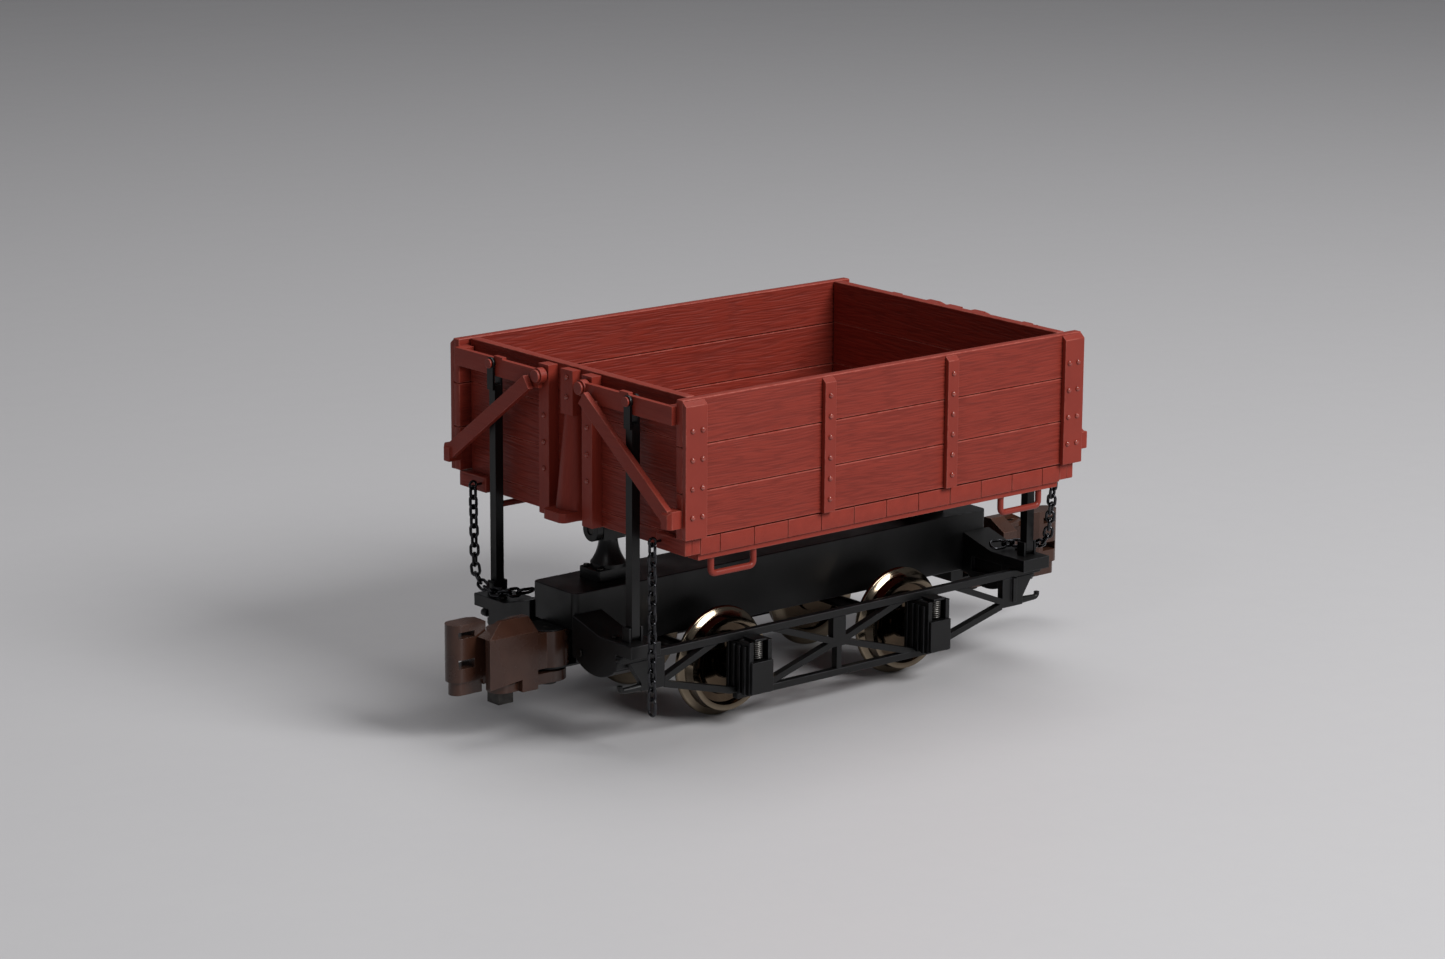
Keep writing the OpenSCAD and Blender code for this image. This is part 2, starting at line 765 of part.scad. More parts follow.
// Bent wire loops under the side sills
module stirrup() {
  stirrup_x = 59;
  wire_r = 1;
  bend_r = 1.6;
  half_l = 8.2;
  y = -floor_y + 3;
  top = floor_low - sill_strip_h;
  low = top - 5.4;
  left_and_right(stirrup_x) {
    for (s = [-1, 1]) {
      translate([s * half_l, y, low + bend_r]) cylinder(h = top - low - bend_r, r = wire_r);
      translate([s * (half_l - bend_r), y, low + bend_r]) rotate([90, 0, 0])
        rotate([0, 0, s > 0 ? -90 : 180]) rotate_extrude(angle = 90) translate([bend_r, 0]) circle(wire_r);
    }
    rod_x(-half_l + bend_r, half_l - bend_r, y, low, wire_r);
  }
}

module stirrups() { color(body_red) both_sides() stirrup(); }

// Eyebolts in the corner blocks, with the ring standing along the wagon
module chain_eyes() {
  color(frame_black) corners() {
    translate([eye_x, -eye_y, eye_z]) rotate([90, 0, 0])
      rotate_extrude() translate([eye_r, 0]) circle(eye_wire / 2);
    rod_x(block_x, eye_x - eye_r, -eye_y, eye_z, eye_wire / 2);
  }
}

module arm_pins() {
  cap_r = 2;
  cap_h = 0.8;
  tail_x = wall_x + 0.6;
  cap_x = brace_x + 0.2;
  color(body_red) corners() {
    rod_x(tail_x, cap_x, -hinge_y, hinge_z, hinge_pin_r);
    rod_x(cap_x, cap_x + cap_h, -hinge_y, hinge_z, cap_r);
  }
}

module end_rivets() {
  pitch = 8.3;
  first_z = door_z + 8.9;
  plate_x = wall_x + pillar_plate_t;
  color(body_red) both_ends() {
    both_sides() for (i = [0:2]) translate([stake_x, -hinge_y, first_z + i * pitch])
      rotate([0, 90, 0]) rivet();
    for (z = [door_top - 9, door_top - 2.9]) translate([plate_x, 0, z]) rotate([0, 90, 0]) rivet();
  }
}

// Side doors, drawn for the near side

module door_boards() {
  seam = 0.25;
  board_h = door_h / 3;
  color(body_red) for (i = [0:2])
    block(-door_l / 2, door_l / 2, -board_y, -board_in_y,
      door_z + i * board_h, door_z + (i + 1) * board_h - (i < 2 ? seam : 0));
}

// Straps whose tops slope down from the boards
module door_straps() {
  slope_h = 1.4;
  color(body_red) both_ends() for (strap = [[mid_strap_x - mid_strap_w / 2, mid_strap_w],
      [door_l / 2 - end_strap_w, end_strap_w]])
    plate_yz(strap[0], strap[1]) polygon([[-board_y, door_z], [-board_y, door_top - 0.4],
      [-strap_y, door_top - slope_h - 0.4], [-strap_y, door_z]]);
}

module door_rivets() {
  mid_pitch = 6.4;
  mid_low = 4.2;
  end_pitch = 8.7;
  end_low = 6.7;
  color(body_red) both_ends() translate([0, -strap_y, door_z]) {
    for (i = [0:5]) translate([mid_strap_x, 0, mid_low + i * mid_pitch]) rotate([90, 0, 0]) rivet();
    for (i = [0:3], x = [2.6, 6.4]) translate([door_l / 2 - x, 0, end_low + i * end_pitch])
      rotate([90, 0, 0]) rivet();
  }
}

// Hinge bar with its boss, the bump beside the post pin and a lug on the door's inner face
module door_bars() {
  boss_r = 2.4;
  lug_l = 3;
  lug_x = wall_x + 0.6;
  bump_l = 4.4;
  bump_h = 0.7;
  bar_top = bar_low + bar_h;
  color(body_red) both_ends() difference() {
    union() {
      block(bar_x, bar_face, -board_in_y, -hinge_y, bar_low, bar_top);
      rod_x(bar_x, brace_x, -hinge_y, hinge_z, boss_r);
      block(bar_x, bar_face, -post_y + 0.6, -post_y + 0.6 + bump_l, hinge_z, bar_top + bump_h);
      block(lug_x, bar_face, -board_in_y, -board_in_y + lug_l, bar_low, bar_top);
    }
    rod_x(wall_x, brace_x + 1, -hinge_y, hinge_z, hinge_pin_r + run);
    rod_x(wall_x, bar_face + 1, -post_y, hinge_z, post_pin_r);
  }
}

// Flat braces held off the bars by a pad, each with a chamfered block on the door's lower corner
module door_braces() {
  low_z = door_z + 3.6;
  block_h = 5.5;
  block_l = 4;
  tip_x = brace_x + brace_t + 0.7;
  chamfer = 1.6;
  head_y = 13.7;
  tail_y = 54.6;
  pad_y = 17;
  pad_l = 4;
  pad_h = 1.2;
  color(body_red) both_ends() {
    plate_yz(brace_x, brace_t)
      strut([-head_y, hinge_z - 2.2], [-tail_y, low_z + block_h / 2], brace_w);
    block(bar_face, brace_x, -pad_y - pad_l / 2, -pad_y + pad_l / 2, bar_low, bar_low + pad_h);
    difference() {
      block(door_l / 2, tip_x, -board_y, -board_y + block_l, low_z, low_z + block_h);
      translate([tip_x, 0, low_z + block_h]) rotate([0, 45, 0]) cube([chamfer, 200, chamfer], center = true);
      translate([tip_x, -board_y, 0]) rotate([0, 0, 45]) cube([chamfer, chamfer, 400], center = true);
    }
  }
}

module post_pins() {
  cap_r = 1.5;
  cap_h = 0.6;
  cap_x = post_x + post_s + cheek_t + 0.2;
  color(body_red) both_ends() {
    rod_x(post_x - 0.2, cap_x, -post_y, hinge_z, post_pin_r);
    rod_x(cap_x, cap_x + cap_h, -post_y, hinge_z, cap_r);
  }
}

// Square posts with a round foot, forked at the top to take the bar between two cheeks
module posts() {
  eye_half = post_s / 2 + 0.4;
  fork_l = 6.8;
  head_l = 8.4;
  head_end = post_x + post_s + cheek_t;
  color(frame_black) both_ends() difference() {
    union() {
      block(post_x, post_x + post_s, -post_y - post_s / 2, -post_y + post_s / 2, foot_z, hinge_z);
      rod_x(post_x, post_x + post_s, -post_y, foot_z, post_s / 2);
      block(post_x, head_end, -post_y - post_s / 2, -post_y + post_s / 2, hinge_z - head_l, hinge_z);
      rod_x(post_x, head_end, -post_y, hinge_z, eye_half);
    }
    block(post_x + cheek_t, post_x + post_s, -post_y - 5, -post_y + 5, hinge_z - fork_l, hinge_z + 5);
    rod_x(post_x - 1, head_end + 1, -post_y, hinge_z, post_pin_r + run);
  }
}

module near_door_boards() { door_boards(); }
module near_door_straps() { door_straps(); }
module near_door_bars() { door_bars(); }
module near_door_braces() { door_braces(); }
module near_door_rivets() { door_rivets(); }
module near_post_pins() { post_pins(); }
module near_posts() { posts(); }
module far_door_boards() { mirror([0, 1, 0]) door_boards(); }
module far_door_straps() { mirror([0, 1, 0]) door_straps(); }
module far_door_bars() { mirror([0, 1, 0]) door_bars(); }
module far_door_braces() { mirror([0, 1, 0]) door_braces(); }
module far_door_rivets() { mirror([0, 1, 0]) door_rivets(); }
module far_post_pins() { mirror([0, 1, 0]) post_pins(); }
module far_posts() { mirror([0, 1, 0]) posts(); }

// Chains

// One oval link lying along X, in the XY plane
module link(len, w) {
  bend_r = (w - wire_d) / 2;
  half = len / 2 - bend_r;
  for (s = [-1, 1]) {
    translate([s * half, 0, 0]) rotate([0, 0, s > 0 ? -90 : 90])
      rotate_extrude(angle = 180) translate([bend_r, 0]) circle(wire_d / 2);
    rod_x(-half, half, s * bend_r, 0, wire_d / 2);
  }
}

// A link whose ends hook at the points p and q, rolled about its own line
module link_between(p, q, roll, w) {
  hook_play = 0.08;
  d = q - p;
  flat = norm([d[0], d[1]]);
  translate((p + q) / 2) rotate([0, -atan2(d[2], flat), atan2(d[1], d[0])]) rotate([roll, 0, 0])
    link(norm(d) + wire_d + hook_play, w);
}

function unit(v) = v / norm(v);
function across(v, d) = unit(v - d * (v * d));
function walk(p, dirs, i = 0) =
  i == len(dirs) ? [p] : concat([p], walk(p + dirs[i] * link_pitch, dirs, i + 1));

// Roll of each link about its own line: a right angle from link to link, plus a slow twist of the run
function rolls(dirs, v, twisted, i = 0) =
  i == len(dirs) ? [] :
  let (d = dirs[i], w = across(v, d), t = i < twisted ? run_twist : 0)
    concat([roll_of(d, w)], rolls(dirs, cross(d, w) * cos(t) - w * sin(t), twisted, i + 1));
function roll_of(d, w) =
  let (a = atan2(d[1], d[0]), side = [-sin(a), cos(a), 0]) atan2(w * cross(d, side), w * side);

ring_len = 4.6;
ring_w = 4;
tail_links = 4;
run_twist = 5;

// Links along a path of directions, the last direction being that of a longer end ring
module chain(start, dirs, twisted, ring) {
  points = walk(start, dirs);
  roll = rolls(dirs, [0, 1, 0], twisted);
  last = len(dirs) - 1;
  for (i = [0:last]) {
    if (ring && i == last) link_between(points[i], points[i] + dirs[i] * ring_len, roll[i], ring_w);
    else link_between(points[i], points[i + 1], roll[i], link_w);
  }
}

// Loose chain: it hangs straight down and ends in a ring
hang_top = [-eye_x, -eye_y, hang_z];
hang_end = hang_top - [0, 0, hang_links * link_pitch];

module near_left_chain() {
  color(frame_black) chain(hang_top, [for (i = [1:hang_links]) [0, 0, -1]], 0, false);
}

module near_left_chain_end() {
  color(frame_black) rotate_about(hang_end, hang_links % 2 * 90)
    chain(hang_end, [for (i = [0:tail_links]) [0, 0, -1]], 0, true);
}

module rotate_about(p, angle) {
  translate(p) rotate([0, 0, angle]) translate(-p) children();
}

// Draped chain at a far corner: down to the ledge, past the post on its outer side, and inwards
run_links = 8;
run_dir = unit([0.142, -0.222, -0.965]);
ledge_headings = [284, 266, 266, 266, 248, 224, 200, 190];
ledge_dips = [70, 50, 28, 10, 0, 0, 0, 0];
function turned(h, d) = [cos(h) * cos(d), sin(h) * cos(d), -sin(d)];
drape_dirs = concat([for (i = [1:run_links]) run_dir],
  [for (i = [0:len(ledge_dips) - 1]) turned(ledge_headings[i], ledge_dips[i])]);

module draped_chain() {
  chain([eye_x, eye_y, hang_z], drape_dirs, run_links, true);
}

module near_right_chain() { color(frame_black) mirror([0, 1, 0]) draped_chain(); }
module far_chains() { color(frame_black) both_ends() draped_chain(); }

centre_sill();
pivot_stands();
end_bolsters();
near_top_bar();
far_top_bar();
near_tie_bar();
far_tie_bar();
near_truss_web();
far_truss_web();
end_brackets();
chain_hooks();
axle_boxes();
axle_springs();
post_guides();
coupler_washers();
coupler_screws();
frame_bolts();
left_wheels();
left_axle();
right_wheels();
right_axle();
left_coupler_head();
left_knuckle_pin();
left_knuckle();
right_coupler_head();
right_knuckle_pin();
right_knuckle();
pivot_pins();
floor_planks();
side_sills();
body_beam();
pivot_lugs();
left_end_wall();
right_end_wall();
end_stakes();
end_pillars();
corner_blocks();
stirrups();
chain_eyes();
arm_pins();
end_rivets();
near_door_boards();
near_door_straps();
near_door_bars();
near_door_braces();
near_door_rivets();
near_post_pins();
far_door_boards();
far_door_straps();
far_door_bars();
far_door_braces();
far_door_rivets();
far_post_pins();
near_posts();
far_posts();
near_left_chain();
near_left_chain_end();
near_right_chain();
far_chains();
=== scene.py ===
import json
import math

import bmesh
import bpy
from mathutils import Matrix, Vector, noise


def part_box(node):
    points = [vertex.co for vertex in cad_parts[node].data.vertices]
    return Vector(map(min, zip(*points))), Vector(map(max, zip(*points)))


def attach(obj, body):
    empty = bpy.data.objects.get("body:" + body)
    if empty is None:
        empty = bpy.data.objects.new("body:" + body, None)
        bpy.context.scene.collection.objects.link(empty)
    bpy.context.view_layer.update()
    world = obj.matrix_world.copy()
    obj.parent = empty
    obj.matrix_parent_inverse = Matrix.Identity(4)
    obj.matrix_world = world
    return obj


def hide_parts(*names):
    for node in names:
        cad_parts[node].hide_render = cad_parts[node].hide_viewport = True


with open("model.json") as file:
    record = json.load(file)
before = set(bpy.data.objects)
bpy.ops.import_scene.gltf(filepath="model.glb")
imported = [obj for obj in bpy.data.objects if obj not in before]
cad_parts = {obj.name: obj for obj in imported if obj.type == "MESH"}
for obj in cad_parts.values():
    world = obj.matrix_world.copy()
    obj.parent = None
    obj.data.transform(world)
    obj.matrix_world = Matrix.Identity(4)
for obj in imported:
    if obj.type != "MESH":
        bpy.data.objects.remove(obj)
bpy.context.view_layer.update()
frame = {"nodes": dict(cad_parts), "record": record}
cadNodes = frame["nodes"]
record = frame["record"]
bodyOfNode = {node: body for body, members in record["behaviour"]["bodies"].items() for node in members}
mm = 0.001    # sizes are written in millimetres, and meshes are in metres
print("frame loaded:", len(cadNodes), "nodes")


# Colours are written as they look on screen, 0 to 255
def tone(red, green, blue):
    def linear(value):
        value /= 255
        return value / 12.92 if value <= 0.04045 else ((value + 0.055) / 1.055) ** 2.4
    return (linear(red), linear(green), linear(blue), 1.0)


# Shader helpers

mixSockets = {"factor": 0, "first": 6, "second": 7, "mixed": 2}    # of a Mix node that mixes colours


class Shader:
    def __init__(self, tree):
        self.tree = tree

    def add(self, kind, inputs=None, **settings):
        node = self.tree.nodes.new(kind)
        for key, value in settings.items():
            setattr(node, key, value)
        for key, value in (inputs or {}).items():
            self.feed(value, node.inputs[key])
        return node

    def feed(self, value, socket):
        if isinstance(value, bpy.types.NodeSocket):
            self.tree.links.new(value, socket)
        else:
            socket.default_value = value

    def math(self, operation, first, second):
        return self.add("ShaderNodeMath", {0: first, 1: second}, operation=operation).outputs[0]

    def times(self, first, second):
        return self.math("MULTIPLY", first, second)

    def spread(self, value, low, high, outLow=0.0, outHigh=1.0):
        return self.add("ShaderNodeMapRange", {"Value": value, "From Min": low, "From Max": high,
                                               "To Min": outLow, "To Max": outHigh}).outputs[0]

    def blend(self, factor, first, second):
        node = self.add("ShaderNodeMix", data_type="RGBA")
        self.feed(factor, node.inputs[mixSockets["factor"]])
        self.feed(first, node.inputs[mixSockets["first"]])
        self.feed(second, node.inputs[mixSockets["second"]])
        return node.outputs[mixSockets["mixed"]]

    def stretch(self, vector, scale, turn=(0, 0, 0), move=(0, 0, 0)):
        return self.add("ShaderNodeMapping", {"Vector": vector, "Location": move, "Rotation": turn,
                                              "Scale": scale}).outputs[0]

    def noise(self, vector, scale, detail, rough, warp=0.0):
        return self.add("ShaderNodeTexNoise", {"Vector": vector, "Scale": scale, "Detail": detail,
                                               "Roughness": rough, "Distortion": warp}).outputs[0]

    def attribute(self, name):
        return self.add("ShaderNodeAttribute", attribute_name=name).outputs["Fac"]

    def bump(self, height, strength, depth, normal=None):
        inputs = {"Height": height, "Strength": strength, "Distance": depth * mm}
        if normal is not None:
            inputs["Normal"] = normal
        return self.add("ShaderNodeBump", inputs).outputs[0]

    def use(self, group, **inputs):
        node = self.add("ShaderNodeGroup", node_tree=groups[group])
        for key, value in inputs.items():
            self.feed(value, node.inputs[key])
        return node.outputs


# A shader group that takes a place in millimetres and some numbers, and puts out numbers
def newGroup(name, numbers, results):
    tree = bpy.data.node_groups.new(name, "ShaderNodeTree")
    tree.interface.new_socket("Vector", in_out="INPUT", socket_type="NodeSocketVector")
    for label, value in numbers.items():
        socket = tree.interface.new_socket(label, in_out="INPUT", socket_type="NodeSocketFloat")
        socket.default_value = value
    for label in results:
        tree.interface.new_socket(label, in_out="OUTPUT", socket_type="NodeSocketFloat")
    shade = Shader(tree)
    return shade, shade.add("NodeGroupInput").outputs, shade.add("NodeGroupOutput").inputs


# Moulded timber grain, running along X of the place it is given
grainLook = {"fineScale": (0.07, 2.4, 2.4), "fineSpan": (0.34, 0.66),
             "broadScale": (0.02, 0.3, 0.3), "broadMove": (7, 3, 5), "broadSpan": (0.3, 0.7),
             "furrowShare": 0.5}


def makeGrainGroup():
    look = grainLook
    shade, given, result = newGroup("boardGrain", {}, ("Fibre", "Tone", "Height", "Furrow"))
    finePlace = shade.stretch(given["Vector"], look["fineScale"])
    broadPlace = shade.stretch(given["Vector"], look["broadScale"], move=look["broadMove"])
    fine = shade.noise(finePlace, 1.0, detail=4.0, rough=0.6, warp=0.3)
    broad = shade.noise(broadPlace, 1.0, detail=3.0, rough=0.5, warp=0.6)
    furrow = shade.attribute("furrow")
    fibre = shade.spread(fine, *look["fineSpan"])
    shade.feed(fibre, result["Fibre"])
    shade.feed(shade.spread(broad, *look["broadSpan"]), result["Tone"])
    shade.feed(shade.math("SUBTRACT", fibre, shade.times(furrow, look["furrowShare"])), result["Height"])
    shade.feed(furrow, result["Furrow"])
    return shade.tree


# Rubbed edges with a painted highlight: the bevelled faces carry the edge mask, which paints them paler, and
# noise breaks it up
edgeWearAndHighlightLook = {"scale": 0.35, "span": (0.38, 0.62), "least": 0.15}


def makeEdgeWearAndHighlightGroup():
    shade, given, result = newGroup("rubbedEdgeAndHighlight", {"Amount": 0.5}, ("Mask",))
    broken = shade.noise(given["Vector"], edgeWearAndHighlightLook["scale"], detail=4.0, rough=0.6)
    patch = shade.spread(broken, *edgeWearAndHighlightLook["span"], edgeWearAndHighlightLook["least"], 1.0)
    mask = shade.times(shade.attribute("edgeWearAndHighlightMask"), patch)
    shade.feed(shade.times(mask, given["Amount"]), result["Mask"])
    return shade.tree


# Fine dust that settles on faces that look up
dustLook = {"scale": 0.16, "span": (0.36, 0.72), "upFrom": 0.25}


def makeDustGroup():
    shade, given, result = newGroup("shelfDust", {"Amount": 0.3}, ("Mask",))
    facing = shade.add("ShaderNodeTexCoord").outputs["Normal"]
    height = shade.add("ShaderNodeSeparateXYZ", {0: facing}).outputs["Z"]
    up = shade.spread(height, dustLook["upFrom"], 1.0)
    cloud = shade.noise(given["Vector"], dustLook["scale"], detail=6.0, rough=0.66)
    mask = shade.times(up, shade.spread(cloud, *dustLook["span"]))
    shade.feed(shade.times(mask, given["Amount"]), result["Mask"])
    return shade.tree


# Satin of a moulded surface: broad sheen patches and a very fine pebble
satinLook = {"patchScale": 0.09, "patchSpan": (0.3, 0.7), "pebbleScale": 3.2}


def makeSatinGroup():
    shade, given, result = newGroup("mouldedSatin", {"Low": 0.35, "High": 0.5},
                                    ("Roughness", "Height", "Patch"))
    cloud = shade.noise(given["Vector"], satinLook["patchScale"], detail=4.0, rough=0.55)
    patch = shade.spread(cloud, *satinLook["patchSpan"])
    pebble = shade.noise(given["Vector"], satinLook["pebbleScale"], detail=2.0, rough=0.5)
    rise = shade.times(patch, shade.math("SUBTRACT", given["High"], given["Low"]))
    shade.feed(shade.math("ADD", given["Low"], rise), result["Roughness"])
    shade.feed(pebble, result["Height"])
    shade.feed(patch, result["Patch"])
    return shade.tree


groups = {"grain": makeGrainGroup(), "edge": makeEdgeWearAndHighlightGroup(), "dust": makeDustGroup(),
          "satin": makeSatinGroup()}
print("shader groups ready")

# Finishes


def newMaterial(name):
    material = bpy.data.materials.new(name)
    material.use_nodes = True
    tree = material.node_tree
    tree.nodes.clear()
    shade = Shader(tree)
    surface = shade.add("ShaderNodeBsdfPrincipled")
    shade.add("ShaderNodeOutputMaterial", {"Surface": surface.outputs[0]})
    place = shade.add("ShaderNodeTexCoord").outputs["Object"]
    inMillimetres = shade.stretch(place, (1 / mm, 1 / mm, 1 / mm))
    return material, shade, surface.inputs, inMillimetres


# The satin, rubbed edges with a painted highlight, and dust that every moulded finish has
def mouldedEffects(shade, place, finish):
    satin = shade.use("satin", Vector=place, Low=finish["roughLow"], High=finish["roughHigh"])
    edge = shade.use("edge", Vector=place, Amount=finish["edgeWearAndHighlightAmount"])
    dust = shade.use("dust", Vector=place, Amount=finish["dustAmount"])
    return satin, edge["Mask"], dust["Mask"]


# edge is a paler colour for the bevels: rubbed paint and a painted highlight
boardFinish = {"base": tone(130, 45, 33), "dark": tone(111, 35, 26), "pale": tone(145, 59, 46),
               "furrow": tone(82, 23, 17), "edge": tone(172, 98, 86), "dust": tone(136, 92, 82),
               "darkAmount": 0.5, "paleAmount": 0.25, "furrowShadeAmount": 0.6, "edgeWearAndHighlightAmount": 0.45,
               "dustAmount": 0.1, "roughLow": 0.38, "roughHigh": 0.52, "furrowRough": 0.12, "specular": 0.22,
               "fibreStrength": 0.6, "fibreDepth": 0.03, "pebbleStrength": 0.25, "pebbleDepth": 0.01}


def boardMaterial(name, turn):
    finish = boardFinish
    material, shade, surface, place = newMaterial(name)
    grain = shade.use("grain", Vector=shade.stretch(place, (1, 1, 1), turn=turn))
    satin, edge, dust = mouldedEffects(shade, place, finish)
    colour = shade.blend(shade.times(grain["Tone"], finish["darkAmount"]), finish["base"], finish["dark"])
    colour = shade.blend(shade.times(grain["Fibre"], finish["paleAmount"]), colour, finish["pale"])
    # Darker in the furrows: painted shade in the cut grain
    colour = shade.blend(shade.times(grain["Furrow"], finish["furrowShadeAmount"]), colour, finish["furrow"])
    # Paler bevels: rubbed paint and a painted highlight
    colour = shade.blend(edge, colour, finish["edge"])
    shade.feed(shade.blend(dust, colour, finish["dust"]), surface["Base Color"])
    furrowRough = shade.times(grain["Furrow"], finish["furrowRough"])
    shade.feed(shade.math("ADD", satin["Roughness"], furrowRough), surface["Roughness"])
    surface["Specular IOR Level"].default_value = finish["specular"]
    relief = shade.bump(grain["Height"], finish["fibreStrength"], finish["fibreDepth"])
    normal = shade.bump(satin["Height"], finish["pebbleStrength"], finish["pebbleDepth"], relief)
    shade.feed(normal, surface["Normal"])
    return material


paintPebble = {"strength": 0.3, "depth": 0.012}
# In these finishes, edge is a paler colour for the bevels: rubbed paint and a painted highlight
fittingFinish = {"base": tone(128, 44, 32), "dark": tone(109, 35, 26), "edge": tone(170, 96, 84),
                 "dust": tone(136, 92, 82), "darkAmount": 0.5, "edgeWearAndHighlightAmount": 0.4, "dustAmount": 0.15,
                 "roughLow": 0.32, "roughHigh": 0.46, "specular": 0.28}
rivetFinish = {**fittingFinish, "roughLow": 0.1, "roughHigh": 0.24, "specular": 0.5}
blackFinish = {"base": tone(9, 9, 10), "dark": tone(6, 6, 6), "edge": tone(46, 46, 50),
               "dust": tone(44, 42, 40), "darkAmount": 1.0, "edgeWearAndHighlightAmount": 0.5, "dustAmount": 0.16,
               "roughLow": 0.3, "roughHigh": 0.46, "specular": 0.3}
postFinish = {**blackFinish, "edgeWearAndHighlightAmount": 0.3, "dustAmount": 0.12}
brownFinish = {"base": tone(62, 38, 28), "dark": tone(49, 28, 20), "edge": tone(116, 88, 76),
               "dust": tone(92, 74, 65), "darkAmount": 1.0, "edgeWearAndHighlightAmount": 0.5, "dustAmount": 0.12,
               "roughLow": 0.18, "roughHigh": 0.32, "specular": 0.38}


def paintMaterial(name, finish):
    material, shade, surface, place = newMaterial(name)
    satin, edge, dust = mouldedEffects(shade, place, finish)
    colour = shade.blend(shade.times(satin["Patch"], finish["darkAmount"]), finish["base"], finish["dark"])
    # Paler bevels: rubbed paint and a painted highlight
    colour = shade.blend(edge, colour, finish["edge"])
    shade.feed(shade.blend(dust, colour, finish["dust"]), surface["Base Color"])
    shade.feed(satin["Roughness"], surface["Roughness"])
    surface["Specular IOR Level"].default_value = finish["specular"]
    shade.feed(shade.bump(satin["Height"], paintPebble["strength"], paintPebble["depth"]), surface["Normal"])
    return material


# Turned and polished metal: fine rings round the axle, a bright rim and a duller, warmer web
wheelFinish = {"bright": tone(124, 112, 96), "warm": tone(76, 64, 52), "film": tone(46, 38, 32),
               "rimRadius": 14.2, "fadeRadius": 12.4, "filmScale": 0.2, "filmSpan": (0.4, 0.7),
               "webFilm": 0.35, "rimFilm": 0.08, "ringsPerMillimetre": 6.0, "ringSpan": (0.3, 0.7),
               "ringStrength": 0.25, "ringDepth": 0.012, "roughLow": 0.07, "roughHigh": 0.14,
               "filmRough": 0.05}


def wheelMaterial(name, node):
    finish = wheelFinish
    low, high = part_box(node)
    centre = (low + high) / 2 / mm
    material, shade, surface, place = newMaterial(name)
    fromAxle = shade.stretch(place, (1, 0, 1), move=(-centre.x, 0, -centre.z))
    radius = shade.add("ShaderNodeVectorMath", {0: fromAxle}, operation="LENGTH").outputs["Value"]
    along = shade.times(radius, finish["ringsPerMillimetre"])
    rings = shade.add("ShaderNodeTexNoise", {"W": along, "Scale": 1.0, "Detail": 4.0},
                      noise_dimensions="1D").outputs[0]
    rim = shade.spread(radius, finish["fadeRadius"], finish["rimRadius"])
    film = shade.spread(shade.noise(place, finish["filmScale"], detail=5.0, rough=0.6), *finish["filmSpan"])
    filmAmount = shade.times(film, shade.spread(rim, 0, 1, finish["webFilm"], finish["rimFilm"]))
    colour = shade.blend(rim, finish["warm"], finish["bright"])
    shade.feed(shade.blend(filmAmount, colour, finish["film"]), surface["Base Color"])
    surface["Metallic"].default_value = 1.0
    rough = shade.spread(rings, *finish["ringSpan"], finish["roughLow"], finish["roughHigh"])
    shade.feed(shade.math("ADD", rough, shade.times(film, finish["filmRough"])), surface["Roughness"])
    shade.feed(shade.bump(rings, finish["ringStrength"], finish["ringDepth"]), surface["Normal"])
    return material


steelFinishes = {
    "dull": {"base": tone(62, 60, 58), "dark": tone(44, 42, 41), "roughLow": 0.28, "roughHigh": 0.44},
    "spring": {"base": tone(120, 118, 114), "dark": tone(78, 76, 74), "roughLow": 0.24, "roughHigh": 0.4},
    "chain": {"base": tone(66, 66, 69), "dark": tone(44, 44, 46), "roughLow": 0.16, "roughHigh": 0.28},
}
steelSpots = {"scale": 0.5, "span": (0.3, 0.7), "pebbleStrength": 0.3, "pebbleDepth": 0.01}


def steelMaterial(name, finish):
    material, shade, surface, place = newMaterial(name)
    satin = shade.use("satin", Vector=place, Low=finish["roughLow"], High=finish["roughHigh"])
    cloud = shade.noise(place, steelSpots["scale"], detail=4.0, rough=0.5)
    spots = shade.spread(cloud, *steelSpots["span"])
    shade.feed(shade.blend(spots, finish["base"], finish["dark"]), surface["Base Color"])
    surface["Metallic"].default_value = 1.0
    shade.feed(satin["Roughness"], surface["Roughness"])
    pebble = shade.bump(satin["Height"], steelSpots["pebbleStrength"], steelSpots["pebbleDepth"])
    shade.feed(pebble, surface["Normal"])
    return material


alongX = (0, 0, 0)
alongY = (0, 0, math.radians(-90))
alongZ = (0, math.radians(90), 0)
finishes = {
    "boardX": boardMaterial("boardsAlong", alongX),
    "boardY": boardMaterial("boardsAcross", alongY),
    "boardZ": boardMaterial("boardsUpright", alongZ),
    "fitting": paintMaterial("redFittings", fittingFinish),
    "rivet": paintMaterial("redRivets", rivetFinish),
    "black": paintMaterial("frameBlack", blackFinish),
    "post": paintMaterial("postBlack", postFinish),
    "chain": steelMaterial("chainSteel", steelFinishes["chain"]),
    "brown": paintMaterial("couplerBrown", brownFinish),
    "steel": steelMaterial("dullSteel", steelFinishes["dull"]),
    "spring": steelMaterial("springWire", steelFinishes["spring"]),
    "leftWheel": wheelMaterial("leftWheelMetal", "left_wheels"),
    "rightWheel": wheelMaterial("rightWheelMetal", "right_wheels"),
}
print("finishes ready:", len(finishes))

# Pieces

meshCare = {"weld": 0.002, "flatAngle": 0.6, "bevelAngle": 28, "bevelSegments": 2}
creaseAngle = {"block": 50, "wire": 40, "spring": 60, "rivet": 80}    # sharper edges stay sharp


def finishPiece(bm, name, node, material, evenShading=True):
    mesh = bpy.data.meshes.new(name)
    bm.to_mesh(mesh)
    bm.free()
    piece = bpy.data.objects.new(name, mesh)
    bpy.context.scene.collection.objects.link(piece)
    mesh.materials.append(material)
    if evenShading:
        normals = piece.modifiers.new("evenShading", "WEIGHTED_NORMAL")
        normals.keep_sharp = True
    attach(piece, bodyOfNode[node])
    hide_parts(node)


